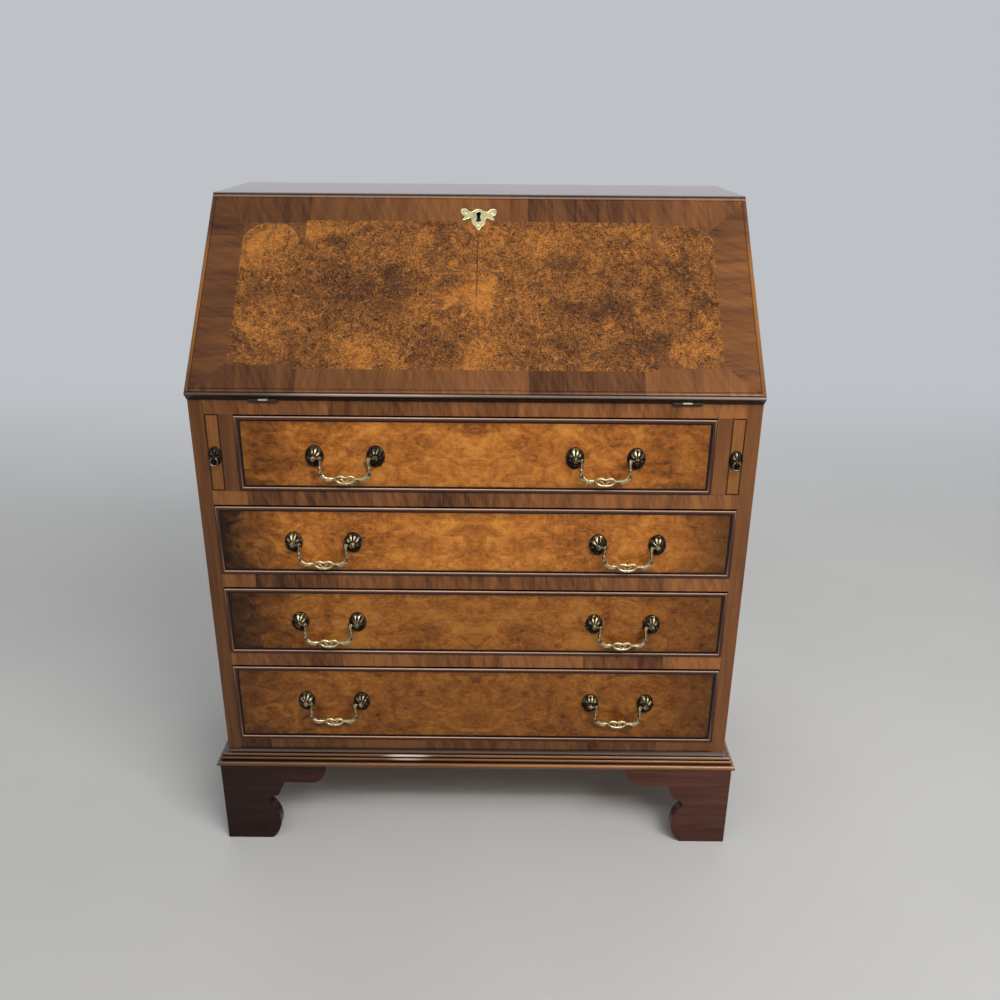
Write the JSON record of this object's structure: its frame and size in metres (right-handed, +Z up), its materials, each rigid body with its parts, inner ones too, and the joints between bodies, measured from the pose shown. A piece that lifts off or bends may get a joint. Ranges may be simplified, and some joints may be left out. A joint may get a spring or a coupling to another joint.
{
  "type": "writing bureau",
  "caption": "Writing bureau with a sloping hinged fall carried on lopers, long cock-beaded drawers with bail handles, a fitted gallery, and a moulded base on scrolled bracket feet.",
  "frame": {"origin": "on the floor at the middle of the plan, under the centre of the overall box", "axes": "+Z up, +X to the right of someone who faces the front, +Y from the front to the back"},
  "size_m": [0.7946, 0.4364, 0.964],
  "materials": {
    "crossbanded_walnut": "French polished veneer, grain across the banding",
    "burr_walnut": "French polished burr veneer",
    "walnut": "polished solid wood",
    "lining_wood": "plain oak and pine, waxed",
    "antique_brass": "dark toned cast brass",
    "bright_brass": "polished brass",
    "leather": "tooled hide",
    "steel": "filed"
  },
  "bodies": {
    "carcass": {"side_left": "walnut", "side_right": "walnut", "top_board": "burr_walnut", "back_panel": "lining_wood", "bottom_board": "lining_wood", "writing_board": "walnut", "drawer_rails": "crossbanded_walnut", "loper_partitions": "crossbanded_walnut", "drawer_runners": "lining_wood", "base_moulding": "walnut", "foot_front_left": "walnut", "foot_front_right": "walnut", "foot_back_left": "walnut", "foot_back_right": "walnut", "foot_blocks": "lining_wood", "gallery_case": "walnut", "lock_keeper": "bright_brass", "hinge_leaves_fixed": "bright_brass", "hinge_pins": "bright_brass"},
    "fall": {"fall_panel": "burr_walnut", "writing_leather": "leather", "escutcheon": "bright_brass", "lock_case": "bright_brass", "hinge_leaves_fall": "bright_brass"},
    "lock_bolt": {"lock_bolt": "steel"},
    "loper_left": {"loper_left": "walnut", "loper_plate_left": "antique_brass"},
    "loper_ring_left": {"loper_ring_left": "antique_brass"},
    "loper_right": {"loper_right": "walnut", "loper_plate_right": "antique_brass"},
    "loper_ring_right": {"loper_ring_right": "antique_brass"},
    "drawer_1": {"drawer_1_front": "burr_walnut", "drawer_1_box": "lining_wood", "drawer_1_cock_bead": "walnut", "drawer_1_rosettes": "antique_brass"},
    "drawer_1_bail_left": {"drawer_1_bail_left": "antique_brass"},
    "drawer_1_bail_right": {"drawer_1_bail_right": "antique_brass"},
    "drawer_2": {"drawer_2_front": "burr_walnut", "drawer_2_box": "lining_wood", "drawer_2_cock_bead": "walnut", "drawer_2_rosettes": "antique_brass"},
    "drawer_2_bail_left": {"drawer_2_bail_left": "antique_brass"},
    "drawer_2_bail_right": {"drawer_2_bail_right": "antique_brass"},
    "drawer_3": {"drawer_3_front": "burr_walnut", "drawer_3_box": "lining_wood", "drawer_3_cock_bead": "walnut", "drawer_3_rosettes": "antique_brass"},
    "drawer_3_bail_left": {"drawer_3_bail_left": "antique_brass"},
    "drawer_3_bail_right": {"drawer_3_bail_right": "antique_brass"},
    "drawer_4": {"drawer_4_front": "burr_walnut", "drawer_4_box": "lining_wood", "drawer_4_cock_bead": "walnut", "drawer_4_rosettes": "antique_brass"},
    "drawer_4_bail_left": {"drawer_4_bail_left": "antique_brass"},
    "drawer_4_bail_right": {"drawer_4_bail_right": "antique_brass"},
    "gallery_drawer_left": {"gallery_drawer_left": "walnut", "gallery_knob_left": "antique_brass"},
    "gallery_drawer_right": {"gallery_drawer_right": "walnut", "gallery_knob_right": "antique_brass"}
  },
  "joints": [
    {"name": "fall_hinge", "type": "hinge", "parent": "carcass", "child": "fall", "pos_m": [0, -0.20305, 0.719], "axis": [1, 0, 0], "range_deg": [0, 134]},
    {"name": "lock_bolt_slide", "type": "slide", "parent": "fall", "child": "lock_bolt", "axis": [0, 0.6947, 0.7193], "range_m": [0, 0.016]},
    {"name": "loper_left_slide", "type": "slide", "parent": "carcass", "child": "loper_left", "axis": [0, -1, 0], "range_m": [0, 0.25]},
    {"name": "loper_ring_left_swing", "type": "hinge", "parent": "loper_left", "child": "loper_ring_left", "pos_m": [-0.35175, -0.21045, 0.64], "axis": [-1, 0, 0], "range_deg": [-10, 95]},
    {"name": "loper_right_slide", "type": "slide", "parent": "carcass", "child": "loper_right", "axis": [0, -1, 0], "range_m": [0, 0.25]},
    {"name": "loper_ring_right_swing", "type": "hinge", "parent": "loper_right", "child": "loper_ring_right", "pos_m": [0.35175, -0.21045, 0.64], "axis": [-1, 0, 0], "range_deg": [-10, 95]},
    {"name": "drawer_1_slide", "type": "slide", "parent": "carcass", "child": "drawer_1", "axis": [0, -1, 0], "range_m": [0, 0.3]},
    {"name": "drawer_1_bail_left_swing", "type": "hinge", "parent": "drawer_1", "child": "drawer_1_bail_left", "pos_m": [-0.176, -0.21285, 0.6415], "axis": [-1, 0, 0], "range_deg": [-10, 95]},
    {"name": "drawer_1_bail_right_swing", "type": "hinge", "parent": "drawer_1", "child": "drawer_1_bail_right", "pos_m": [0.176, -0.21285, 0.6415], "axis": [-1, 0, 0], "range_deg": [-10, 95]},
    {"name": "drawer_2_slide", "type": "slide", "parent": "carcass", "child": "drawer_2", "axis": [0, -1, 0], "range_m": [0, 0.3]},
    {"name": "drawer_2_bail_left_swing", "type": "hinge", "parent": "drawer_2", "child": "drawer_2_bail_left", "pos_m": [-0.213, -0.21285, 0.5135], "axis": [-1, 0, 0], "range_deg": [-10, 95]},
    {"name": "drawer_2_bail_right_swing", "type": "hinge", "parent": "drawer_2", "child": "drawer_2_bail_right", "pos_m": [0.213, -0.21285, 0.5135], "axis": [-1, 0, 0], "range_deg": [-10, 95]},
    {"name": "drawer_3_slide", "type": "slide", "parent": "carcass", "child": "drawer_3", "axis": [0, -1, 0], "range_m": [0, 0.3]},
    {"name": "drawer_3_bail_left_swing", "type": "hinge", "parent": "drawer_3", "child": "drawer_3_bail_left", "pos_m": [-0.213, -0.21285, 0.3865], "axis": [-1, 0, 0], "range_deg": [-10, 95]},
    {"name": "drawer_3_bail_right_swing", "type": "hinge", "parent": "drawer_3", "child": "drawer_3_bail_right", "pos_m": [0.213, -0.21285, 0.3865], "axis": [-1, 0, 0], "range_deg": [-10, 95]},
    {"name": "drawer_4_slide", "type": "slide", "parent": "carcass", "child": "drawer_4", "axis": [0, -1, 0], "range_m": [0, 0.3]},
    {"name": "drawer_4_bail_left_swing", "type": "hinge", "parent": "drawer_4", "child": "drawer_4_bail_left", "pos_m": [-0.213, -0.21285, 0.25075], "axis": [-1, 0, 0], "range_deg": [-10, 95]},
    {"name": "drawer_4_bail_right_swing", "type": "hinge", "parent": "drawer_4", "child": "drawer_4_bail_right", "pos_m": [0.213, -0.21285, 0.25075], "axis": [-1, 0, 0], "range_deg": [-10, 95]},
    {"name": "gallery_drawer_left_slide", "type": "slide", "parent": "carcass", "child": "gallery_drawer_left", "axis": [0, -1, 0], "range_m": [0, 0.14]},
    {"name": "gallery_drawer_right_slide", "type": "slide", "parent": "carcass", "child": "gallery_drawer_right", "axis": [0, -1, 0], "range_m": [0, 0.14]}
  ]
}
